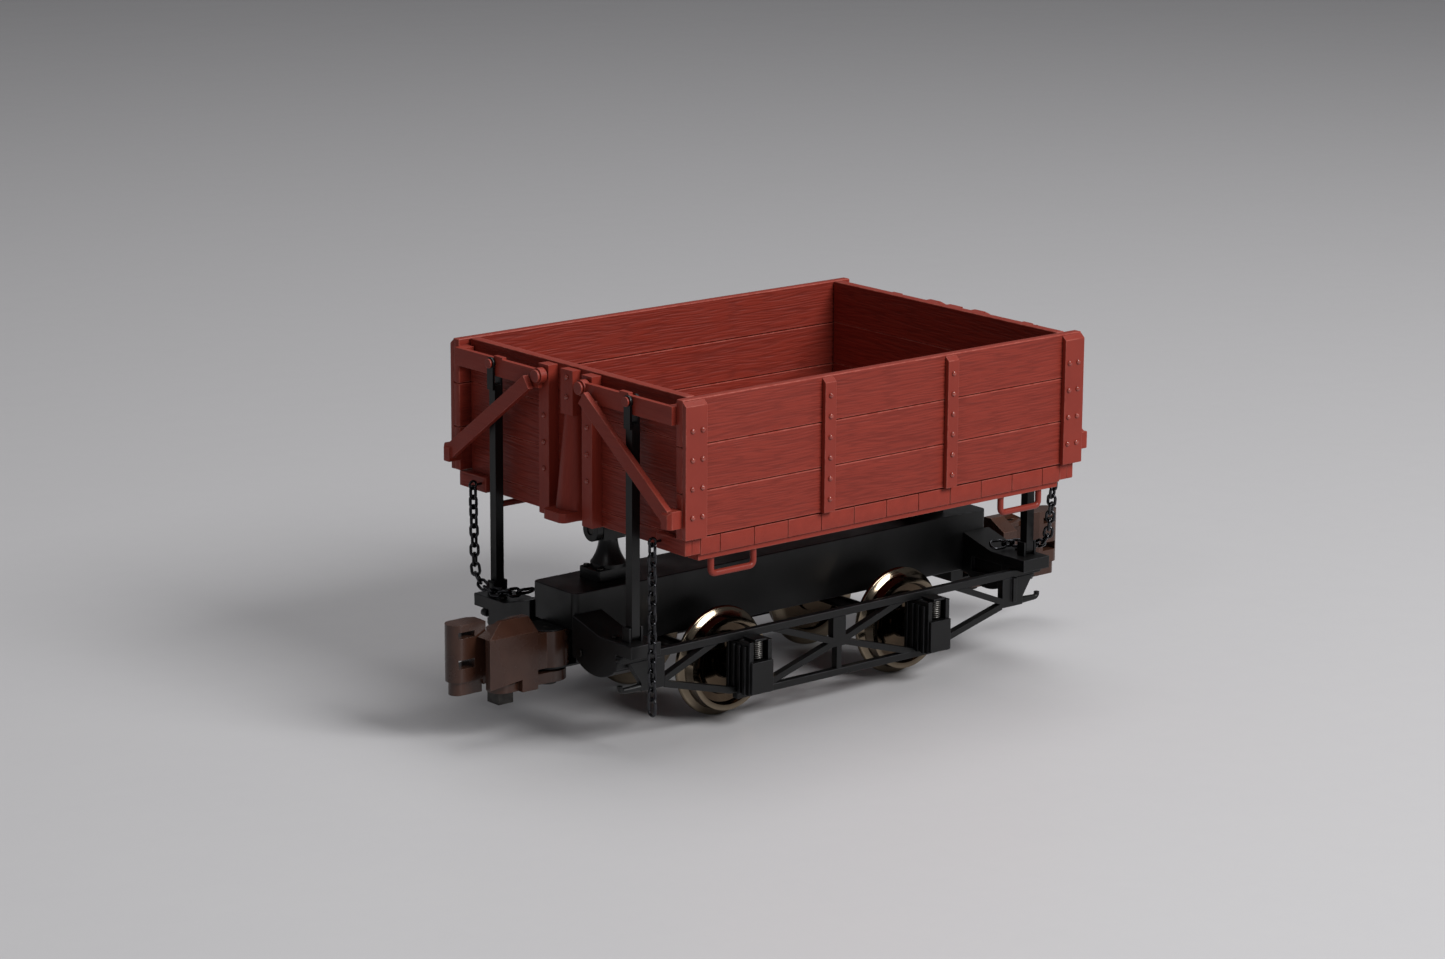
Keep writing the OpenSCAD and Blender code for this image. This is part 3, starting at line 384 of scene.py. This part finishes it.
# A merged copy of a CAD node's mesh
def nodeShape(node, flatten=True):
    bm = bmesh.new()
    bm.from_mesh(cadNodes[node].data)
    bmesh.ops.remove_doubles(bm, verts=bm.verts, dist=meshCare["weld"] * mm)
    if flatten:
        bmesh.ops.dissolve_limit(bm, angle_limit=math.radians(meshCare["flatAngle"]), verts=bm.verts,
                                 edges=bm.edges, use_dissolve_boundaries=False, delimit=set())
    return bm


# The separate solids of a CAD node, as (lowest corner, highest corner), from left to right and low to high
def solidBoxes(node):
    bm = nodeShape(node, flatten=False)
    waiting = set(bm.verts)
    boxes = []
    while waiting:
        reached = [waiting.pop()]
        solid = []
        while reached:
            vert = reached.pop()
            solid.append(vert.co.copy())
            for edge in vert.link_edges:
                other = edge.other_vert(vert)
                if other in waiting:
                    waiting.remove(other)
                    reached.append(other)
        boxes.append((Vector(min(co[i] for co in solid) for i in range(3)),
                      Vector(max(co[i] for co in solid) for i in range(3))))
    bm.free()
    return sorted(boxes, key=lambda box: (round(box[0].x, 5), round(box[0].z, 5), box[0].y))


def addMesh(bm, part):
    mesh = bpy.data.meshes.new("part")
    part.to_mesh(mesh)
    part.free()
    bm.from_mesh(mesh)
    bpy.data.meshes.remove(mesh)


def edgeLayer(bm):
    return bm.faces.layers.float.get("edgeWearAndHighlightMask") or bm.faces.layers.float.new("edgeWearAndHighlightMask")


def sharpEdges(bm, angle):
    return [edge for edge in bm.edges if len(edge.link_faces) == 2
            and edge.calc_face_angle(0.0) > math.radians(angle)]


def smoothFaces(bm, angle):
    for face in bm.faces:
        face.smooth = True
    for edge in sharpEdges(bm, angle):
        edge.smooth = False


def vertsOf(made):
    return [item for item in made if isinstance(item, bmesh.types.BMVert)]


# Those of the made edges that have both ends among the verts
def edgesBetween(made, verts):
    return [item for item in made if isinstance(item, bmesh.types.BMEdge)
            and all(vert in verts for vert in item.verts)]


def bevelEdges(bm, edges, width):
    return bmesh.ops.bevel(bm, geom=edges, offset=width, offset_type="OFFSET",
                           segments=meshCare["bevelSegments"], profile=0.5, affect="EDGES",
                           clamp_overlap=True, material=-1)["faces"]


def newBox(low, high):
    part = bmesh.new()
    place = Matrix.Translation((low + high) / 2) @ Matrix.Diagonal((*(high - low), 1.0))
    bmesh.ops.create_cube(part, size=1.0, matrix=place)
    return part


# Bevelled box, from corners in millimetres, with the bevel marked for rubbed paint and a painted highlight
def addBlock(bm, low, high, edge):
    part = newBox(Vector(low) * mm, Vector(high) * mm)
    layer = edgeLayer(part)
    for face in bevelEdges(part, part.edges[:], edge * mm):
        face[layer] = 1.0
    addMesh(bm, part)


# A CAD node with its edges rounded
def dressNode(node, material, width):
    bm = nodeShape(node)
    layer = edgeLayer(bm)
    # The bevels get the edge mask: rubbed paint and a painted highlight
    for face in bevelEdges(bm, sharpEdges(bm, meshCare["bevelAngle"]), width * mm):
        face[layer] = 1.0
    smoothFaces(bm, creaseAngle["block"])
    finishPiece(bm, node + "_dressed", node, material)


# A CAD node that is shaded smoothly, its wire a little fuller than in the CAD
def smoothNode(node, material, fuller):
    bm = nodeShape(node, flatten=False)
    bm.normal_update()
    for vert in bm.verts:
        vert.co += vert.normal * fuller * mm
    smoothFaces(bm, creaseAngle["wire"])
    finishPiece(bm, node + "_smooth", node, material)


# Boards with a cut grain: furrows that wander along the board, and fine fibres between them

axisX, axisY, axisZ = 0, 1, 2
reliefLook = {"depth": 0.2, "pitch": 0.8, "length": 15.0, "line": 0.2, "fade": 0.25,
              "drift": 1.3, "driftAlong": 0.035, "driftAcross": 0.11,
              "fibre": 0.4, "fibreLength": 6, "fibrePitch": 0.4, "stepAlong": 1.5, "stepAcross": 0.2,
              "boardSeed": 3, "wanderSeed": 9, "fibreSeed": 17, "backSeed": 31}
boardCare = {"longEdge": 0.6, "flatFace": 0.98, "faceReach": 0.01}


# How deep the grain is cut at a place on a board, 0 to 1
def furrowAt(along, across, seed):
    look = reliefLook
    driftPlace = Vector((along * look["driftAlong"], across * look["driftAcross"], seed))
    drifted = across + look["drift"] * noise.noise(driftPlace)
    wanderPlace = Vector((along / look["length"], drifted / look["pitch"], seed + look["wanderSeed"]))
    fibrePlace = Vector((along / look["fibreLength"], across / look["fibrePitch"], seed + look["fibreSeed"]))
    line = max(0.0, 1 - abs(noise.noise(wanderPlace)) / look["line"])
    fibre = 0.5 + 0.5 * noise.noise(fibrePlace)
    return min(1.0, line * (1 - look["fibre"]) + look["fibre"] * fibre)


def addBoard(bm, low, high, along, across, seed, look):
    edge = look["edge"] * mm
    size = high - low
    middle = (low + high) / 2
    out = axisX + axisY + axisZ - along - across
    part = newBox(low, high)
    bevelEdges(part, part.edges[:], edge)
    for axis, step in ((along, reliefLook["stepAlong"]), (across, reliefLook["stepAcross"])):
        lines = [line for line in part.edges
                 if abs(line.verts[0].co[axis] - line.verts[1].co[axis]) > boardCare["longEdge"] * size[axis]]
        cuts = round(size[axis] / (step * look["coarse"] * mm))
        bmesh.ops.subdivide_edges(part, edges=lines, cuts=cuts, use_grid_fill=True)
    # Bevel faces get the edge mask: rubbed paint and a painted highlight
    layer = edgeLayer(part)
    part.normal_update()
    for face in part.faces:
        flat = max(abs(value) for value in face.normal) > boardCare["flatFace"]
        face[layer] = 0.0 if flat else 1.0
        face.smooth = True
    furrows = part.verts.layers.float.new("furrow")
    for vert in part.verts:
        side = vert.co[out] - middle[out]
        room = min(size[i] / 2 - abs(vert.co[i] - middle[i]) for i in (along, across)) - edge
        if abs(side) < size[out] / 2 - boardCare["faceReach"] * mm or room < 0:
            continue
        faceSeed = seed if side > 0 else seed + reliefLook["backSeed"]
        cut = furrowAt(vert.co[along] / mm, vert.co[across] / mm, faceSeed)
        cut *= min(1.0, room / (reliefLook["fade"] * mm))
        vert.co[out] -= math.copysign(reliefLook["depth"] * mm * cut, side)
        vert[furrows] = cut
    addMesh(bm, part)


def addBoards(bm, boxes, along, across, seed, look):
    for i, (low, high) in enumerate(boxes):
        addBoard(bm, low, high, along, across, seed + reliefLook["boardSeed"] * i, look)


# A tongue in each seam keeps the light out
def addTongues(bm, boxes, along, across, look):
    out = axisX + axisY + axisZ - along - across
    for board, nextBoard in zip(boxes, boxes[1:]):
        low, high = board[0] / mm, board[1] / mm
        middle = (low[out] + high[out]) / 2
        low[along] += look["inset"]
        high[along] -= look["inset"]
        low[out] = middle - look["tongue"]
        high[out] = middle + look["tongue"]
        low[across] = high[across] - look["lap"]
        high[across] = nextBoard[0][across] / mm + look["lap"]
        addBlock(bm, low, high, look["tongueEdge"])


doorBoardLook = {"edge": 0.3, "coarse": 1.0, "seeds": {"near_door_boards": 1, "far_door_boards": 40},
                 "tongue": 0.5, "lap": 0.1, "inset": 0.3, "tongueEdge": 0.05}


def makeDoorBoards(node):
    bm = bmesh.new()
    boxes = solidBoxes(node)
    addBoards(bm, boxes, axisX, axisZ, doorBoardLook["seeds"][node], doorBoardLook)
    addTongues(bm, boxes, axisX, axisZ, doorBoardLook)
    finishPiece(bm, node + "_boards", node, finishes["boardX"], evenShading=False)


for node in doorBoardLook["seeds"]:
    makeDoorBoards(node)

endWallLook = {"edge": 0.3, "coarse": 1.1, "seeds": {"left_end_wall": 80, "right_end_wall": 120},
               "half": 53.4, "levels": (69.6, 84.35, 98.35)}


# Four boards above each other, the lowest one as wide as the floor
def makeEndWall(node):
    low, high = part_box(node)
    levels = [low.z, *(level * mm for level in endWallLook["levels"]), high.z]
    half = endWallLook["half"] * mm
    halves = [high.y] + [half] * len(endWallLook["levels"])
    boxes = [(Vector((low.x, -halves[i], levels[i])), Vector((high.x, halves[i], levels[i + 1])))
             for i in range(len(halves))]
    bm = bmesh.new()
    addBoards(bm, boxes, axisY, axisZ, endWallLook["seeds"][node], endWallLook)
    finishPiece(bm, node + "_boards", node, finishes["boardY"], evenShading=False)


for node in endWallLook["seeds"]:
    makeEndWall(node)

plankLook = {"edge": 0.16, "coarse": 1.4, "seed": 160, "tongue": 0.6, "lap": 0.1, "inset": 1.5,
             "tongueEdge": 0.05, "lipInner": 53.95, "lipOuter": 55.3, "lipRoot": 69.1, "lipTop": 69.95}


def makePlanks():
    look = plankLook
    bm = bmesh.new()
    boxes = solidBoxes("floor_planks")
    addBoards(bm, boxes, axisY, axisX, look["seed"], look)
    addTongues(bm, boxes, axisY, axisX, look)
    start, end = boxes[0][0].x / mm + look["inset"], boxes[-1][1].x / mm - look["inset"]
    for side in (-1, 1):    # a lip under each door
        near, far = sorted((side * look["lipInner"], side * look["lipOuter"]))
        addBlock(bm, (start, near, look["lipRoot"]), (end, far, look["lipTop"]), look["tongueEdge"])
    finishPiece(bm, "floor_planks_boards", "floor_planks", finishes["boardY"], evenShading=False)


makePlanks()

cornerLook = {"edge": 0.3, "coarse": 1.4, "seed": 260}


def makeCornerBlocks():
    bm = bmesh.new()
    addBoards(bm, solidBoxes("corner_blocks"), axisY, axisZ, cornerLook["seed"], cornerLook)
    finishPiece(bm, "corner_blocks_boards", "corner_blocks", finishes["boardY"], evenShading=False)


makeCornerBlocks()
print("boards cut")

# Round rivet heads, set half into the faces that carry them
rivetLook = {"around": 18, "over": 10, "fuller": 1.2, "crownWearAndHighlight": 0.6}


def makeRivets(node):
    bm = bmesh.new()
    layer = edgeLayer(bm)
    for low, high in solidBoxes(node):
        size = high - low
        axis = min(range(3), key=lambda i: size[i])
        base = (low + high) / 2
        base[axis] = low[axis] if base[axis] > 0 else high[axis]
        spread = size / 2 * rivetLook["fuller"]
        spread[axis] = size[axis]
        place = Matrix.Translation(base) @ Matrix.Diagonal((*spread, 1.0))
        head = bmesh.ops.create_uvsphere(bm, u_segments=rivetLook["around"], v_segments=rivetLook["over"],
                                         radius=1.0, matrix=place)
        # The crown of each head gets the edge mask: a painted highlight, with rubbed paint
        for face in {face for vert in head["verts"] for face in vert.link_faces}:
            height = abs(face.calc_center_median()[axis] - base[axis]) / size[axis]
            face[layer] = 1.0 if height > rivetLook["crownWearAndHighlight"] else 0.0
    smoothFaces(bm, creaseAngle["rivet"])
    finishPiece(bm, node + "_heads", node, finishes["rivet"], evenShading=False)


for node in ("near_door_rivets", "far_door_rivets", "end_rivets"):
    makeRivets(node)

# Pedestals that sit on the tie bar: ribbed jaws, open at the top for the spring, and a lidded journal
pedestalLook = {"half": 4.5, "inner": 29.6, "jaw": 40.9, "plate": 1.2, "inset": 0.2, "lap": 0.3,
                "low": 11.1, "floor": 11.2, "seat": 21.7, "top": 28.0,
                "axleHeight": 17.4, "boreHalf": 2.2, "boreEnd": 37.8,
                "lid": 42.0, "lidHalf": 4.2, "lidThick": 1.4, "lidLow": 11.6,
                "bridgeInner": 31.6, "bridgeOuter": 36.0, "bridgeThick": 0.8,
                "capHalf": 2.3, "capInner": 35.0, "capThick": 0.7,
                "flange": 1.6, "flangeDepth": 1.2, "flangeProud": 0.05, "flangeLow": 21.1,
                "ribs": (30.6, 33.2, 35.8, 38.4), "ribWidth": 1.2, "ribProud": 0.8, "ribTop": 26.6,
                "edge": 0.15}


# Corners of one pedestal's blocks: along the wagon from the axle, out from the middle, and height
def pedestalBlocks():
    look = pedestalLook
    half, inner, jaw, top = look["half"], look["inner"], look["jaw"], look["top"]
    wide = half - look["inset"]
    roof = look["seat"] - look["inset"]
    boreLow = look["axleHeight"] - look["boreHalf"]
    boreHigh = look["axleHeight"] + look["boreHalf"]
    boreEnd = look["boreEnd"] + look["lap"]
    lidBack = look["lid"] - look["lidThick"]
    single = [
        ((-wide, look["boreEnd"], look["floor"]), (wide, lidBack + look["inset"], roof)),    # past the axle
        ((-wide, inner, look["floor"]), (wide, boreEnd, boreLow)),    # under it
        ((-wide, inner, boreHigh), (wide, boreEnd, roof)),    # over it
        ((-look["lidHalf"], lidBack, look["lidLow"]), (look["lidHalf"], look["lid"], look["seat"])),
        ((-half, look["bridgeInner"], top - look["bridgeThick"]), (half, look["bridgeOuter"], top)),
        ((-look["capHalf"], look["capInner"], top), (look["capHalf"], jaw, top + look["capThick"])),
    ]
    paired = [
        ((half - look["plate"], inner, look["low"]), (half, jaw, top)),
        ((look["boreHalf"], inner, boreLow - look["lap"]), (wide, boreEnd, boreHigh + look["lap"])),
        ((half - look["flange"], jaw - look["flangeDepth"], look["flangeLow"]),
         (half - look["flangeProud"], jaw + look["flangeProud"], top)),
    ]
    for rib in look["ribs"]:
        ribEnd = (half + look["ribProud"], rib + look["ribWidth"], look["ribTop"])
        paired.append(((wide, rib, look["low"]), ribEnd))
    mirrored = [((-high[0], *low[1:]), (-low[0], *high[1:])) for low, high in paired]
    return single + paired + mirrored


def makePedestals():
    bm = bmesh.new()
    for node in ("left_axle", "right_axle"):
        low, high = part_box(node)
        axle = (low.x + high.x) / 2 / mm
        for side in (-1, 1):
            for start, end in pedestalBlocks():
                near, far = sorted((side * start[1], side * end[1]))
                addBlock(bm, (axle + start[0], near, start[2]), (axle + end[0], far, end[2]),
                         pedestalLook["edge"])
    smoothFaces(bm, creaseAngle["block"])
    finishPiece(bm, "axle_boxes_pedestals", "axle_boxes", finishes["black"])


makePedestals()

# The tie bars run on under the pedestals
tieLook = {"reach": 9.0, "edge": 0.25}


def makeTieBar(node):
    low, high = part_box(node)
    reach = Vector((tieLook["reach"], 0, 0))
    bm = bmesh.new()
    addBlock(bm, low / mm - reach, high / mm + reach, tieLook["edge"])
    smoothFaces(bm, creaseAngle["block"])
    finishPiece(bm, node + "_bar", node, finishes["black"])


for node in ("near_tie_bar", "far_tie_bar"):
    makeTieBar(node)

# Chain hooks: a shank that thins towards an upturned tip
hookLook = {"start": 78.4, "bend": 85.2, "across": 34.0, "height": 19.5, "radius": 0.9, "taper": 1.35,
            "bendRadius": 1.2, "tip": 0.5, "around": 14, "steps": 6}


def addHook(bm, end, side):
    look = hookLook
    part = bmesh.new()
    start = Vector((look["start"], side * look["across"], look["height"])) * mm
    bend = Vector((look["bend"], side * look["across"], look["height"])) * mm
    place = Matrix.Translation(start) @ Matrix.Rotation(math.pi / 2, 4, "Y")
    ring = bmesh.ops.create_circle(part, cap_ends=True, radius=look["radius"] * look["taper"] * mm,
                                   segments=look["around"], matrix=place)
    rim = list({edge for vert in ring["verts"] for edge in vert.link_edges})
    shank = bmesh.ops.extrude_edge_only(part, edges=rim)["geom"]
    thinVerts = vertsOf(shank)
    bmesh.ops.translate(part, vec=bend - start, verts=thinVerts)
    thinner = 1 / look["taper"]
    bmesh.ops.scale(part, vec=(1, thinner, thinner), space=Matrix.Translation(-bend), verts=thinVerts)
    centre = bend + Vector((0, 0, look["bendRadius"] * mm))
    turn = bmesh.ops.spin(part, geom=thinVerts + edgesBetween(shank, thinVerts), cent=centre, axis=(0, -1, 0),
                          angle=math.pi / 2, steps=look["steps"])["geom_last"]
    nose = bmesh.ops.extrude_edge_only(part, edges=edgesBetween(turn, vertsOf(turn)))["geom"]
    noseVerts = vertsOf(nose)
    bmesh.ops.translate(part, vec=(0, 0, look["tip"] * mm), verts=noseVerts)
    bmesh.ops.contextual_create(part, geom=edgesBetween(nose, noseVerts))
    bmesh.ops.scale(part, vec=(end, 1, 1), verts=part.verts)
    bmesh.ops.recalc_face_normals(part, faces=part.faces)
    addMesh(bm, part)


def makeHooks():
    bm = bmesh.new()
    for end in (-1, 1):
        for side in (-1, 1):
            addHook(bm, end, side)
    smoothFaces(bm, creaseAngle["block"])
    finishPiece(bm, "chain_hooks_shanks", "chain_hooks", finishes["black"])


makeHooks()

springLook = {"wire": 0.27, "turns": 9, "around": 10, "steps": 20, "top": 28.0}


def makeSprings():
    look = springLook
    bm = bmesh.new()
    wire = look["wire"] * mm
    count = look["turns"] * look["steps"]
    for low, high in solidBoxes("axle_springs"):
        middle = (low + high) / 2
        radius = (high.x - low.x) / 2 - wire
        rise = (look["top"] * mm - low.z - 2 * wire) / count
        start = Matrix.Translation((middle.x + radius, middle.y, low.z + wire))
        ring = bmesh.ops.create_circle(bm, cap_ends=True, radius=wire, segments=look["around"],
                                       matrix=start @ Matrix.Rotation(math.pi / 2, 4, "X"))
        rim = list({edge for vert in ring["verts"] for edge in vert.link_edges})
        last = bmesh.ops.spin(bm, geom=ring["verts"] + rim, cent=middle, axis=(0, 0, 1), dvec=(0, 0, rise),
                              angle=2 * math.pi * look["turns"], steps=count)["geom_last"]
        bmesh.ops.contextual_create(bm, geom=edgesBetween(last, vertsOf(last)))
    bmesh.ops.recalc_face_normals(bm, faces=bm.faces)
    smoothFaces(bm, creaseAngle["spring"])
    finishPiece(bm, "axle_springs_coils", "axle_springs", finishes["spring"], evenShading=False)


makeSprings()
print("rivets, pedestals, hooks and springs made")

# Width of the rounded edges of the other nodes, by finish
edgeWidths = {
    "boardX": {"side_sills": 0.25, "body_beam": 0.25},
    "boardY": {"near_door_bars": 0.25, "far_door_bars": 0.25, "near_door_braces": 0.25,
               "far_door_braces": 0.25},
    "boardZ": {"end_stakes": 0.3, "end_pillars": 0.3},
    "fitting": {"near_door_straps": 0.2, "far_door_straps": 0.2, "arm_pins": 0.65, "near_post_pins": 0.4,
                "far_post_pins": 0.4},
    "black": {"centre_sill": 0.35, "pivot_stands": 0.3, "pivot_lugs": 0.25, "end_bolsters": 0.3,
              "near_top_bar": 0.25, "far_top_bar": 0.25, "near_truss_web": 0.2, "far_truss_web": 0.2,
              "end_brackets": 0.2, "post_guides": 0.15, "coupler_washers": 0.2},
    "post": {"near_posts": 0.2, "far_posts": 0.2},
    "brown": {"left_coupler_head": 0.35, "right_coupler_head": 0.35, "left_knuckle": 0.35,
              "right_knuckle": 0.35},
    "steel": {"frame_bolts": 0.15, "coupler_screws": 0.2, "left_knuckle_pin": 0.25, "right_knuckle_pin": 0.25,
              "pivot_pins": 0.15, "left_axle": 0.2, "right_axle": 0.2},
    "leftWheel": {"left_wheels": 0.15},
    "rightWheel": {"right_wheels": 0.15},
}
for finish, widths in edgeWidths.items():
    for node, width in widths.items():
        dressNode(node, finishes[finish], width)
print("edges softened")

# How much fuller the wire is, by finish
wireFuller = {
    "fitting": {"stirrups": 0.0},
    "chain": {"near_left_chain": 0.04, "near_left_chain_end": 0.04, "near_right_chain": 0.09,
              "far_chains": 0.09, "chain_eyes": 0.0},
}
for finish, nodes in wireFuller.items():
    for node, fuller in nodes.items():
        smoothNode(node, finishes[finish], fuller)
print("wire and chain smoothed")

# Floor, light and camera

stageLook = {"floor": tone(196, 195, 196), "haze": tone(184, 183, 185), "hazeScale": 0.012,
             "hazeSpan": (0.3, 0.7), "floorRough": (0.36, 0.48), "size": 9.0,
             "world": tone(206, 206, 210), "worldStrength": 0.2}


def makeFloor():
    material, shade, surface, place = newMaterial("paleFloor")
    haze = shade.noise(place, stageLook["hazeScale"], detail=5.0, rough=0.6)
    shade.feed(shade.blend(haze, stageLook["floor"], stageLook["haze"]), surface["Base Color"])
    shade.feed(shade.spread(haze, *stageLook["hazeSpan"], *stageLook["floorRough"]), surface["Roughness"])
    bm = bmesh.new()
    bmesh.ops.create_grid(bm, x_segments=1, y_segments=1, size=stageLook["size"] / 2)
    mesh = bpy.data.meshes.new("floor")
    bm.to_mesh(mesh)
    bm.free()
    mesh.materials.append(material)
    floor = bpy.data.objects.new("floor", mesh)
    bpy.context.scene.collection.objects.link(floor)


def makeWorld():
    world = bpy.data.worlds.new("softRoom")
    bpy.context.scene.world = world
    world.use_nodes = True
    back = world.node_tree.nodes["Background"]
    back.inputs["Color"].default_value = stageLook["world"]
    back.inputs["Strength"].default_value = stageLook["worldStrength"]


lampAim = Vector((0, 0, 0.06))
lamps = (
    {"name": "keyPanel", "place": (0.4, -1.4, 1.15), "size": (0.9, 0.7), "power": 33.0},
    {"name": "topPanel", "place": (0.4, 0.1, 1.7), "size": (1.3, 1.1), "power": 14.0},
    {"name": "sidePanel", "place": (-1.3, -0.7, 1.2), "size": (0.24, 0.24), "power": 1.5},
)


def makeLamps():
    for lamp in lamps:
        light = bpy.data.lights.new(lamp["name"], "AREA")
        light.shape = "RECTANGLE"
        light.size, light.size_y = lamp["size"]
        light.energy = lamp["power"]
        holder = bpy.data.objects.new(lamp["name"], light)
        holder.location = lamp["place"]
        holder.rotation_euler = (lampAim - holder.location).to_track_quat("-Z", "Y").to_euler()
        bpy.context.scene.collection.objects.link(holder)


# Place in metres, and the directions of the picture's right, its top and the viewer
view = {"lens": 100.62, "sensor": 36.0, "clipStart": 0.01, "place": (-0.8032, -0.9460, 0.3702),
        "right": (0.77064, -0.63727, 0.00576), "up": (0.14781, 0.18753, 0.97109),
        "back": (-0.61992, -0.74750, 0.23870)}


def makeCamera():
    lens = bpy.data.cameras.new("photoCamera")
    lens.lens = view["lens"]
    lens.sensor_width = view["sensor"]
    lens.sensor_fit = "HORIZONTAL"
    lens.clip_start = view["clipStart"]
    camera = bpy.data.objects.new("photoCamera", lens)
    turn = Matrix((view["right"], view["up"], view["back"])).transposed()
    camera.matrix_world = Matrix.Translation(view["place"]) @ turn.to_4x4()
    bpy.context.scene.collection.objects.link(camera)
    bpy.context.scene.camera = camera


makeFloor()
makeWorld()
makeLamps()
makeCamera()
bpy.context.scene.view_settings.view_transform = "Standard"
print("stage ready")

bpy.context.view_layer.update()
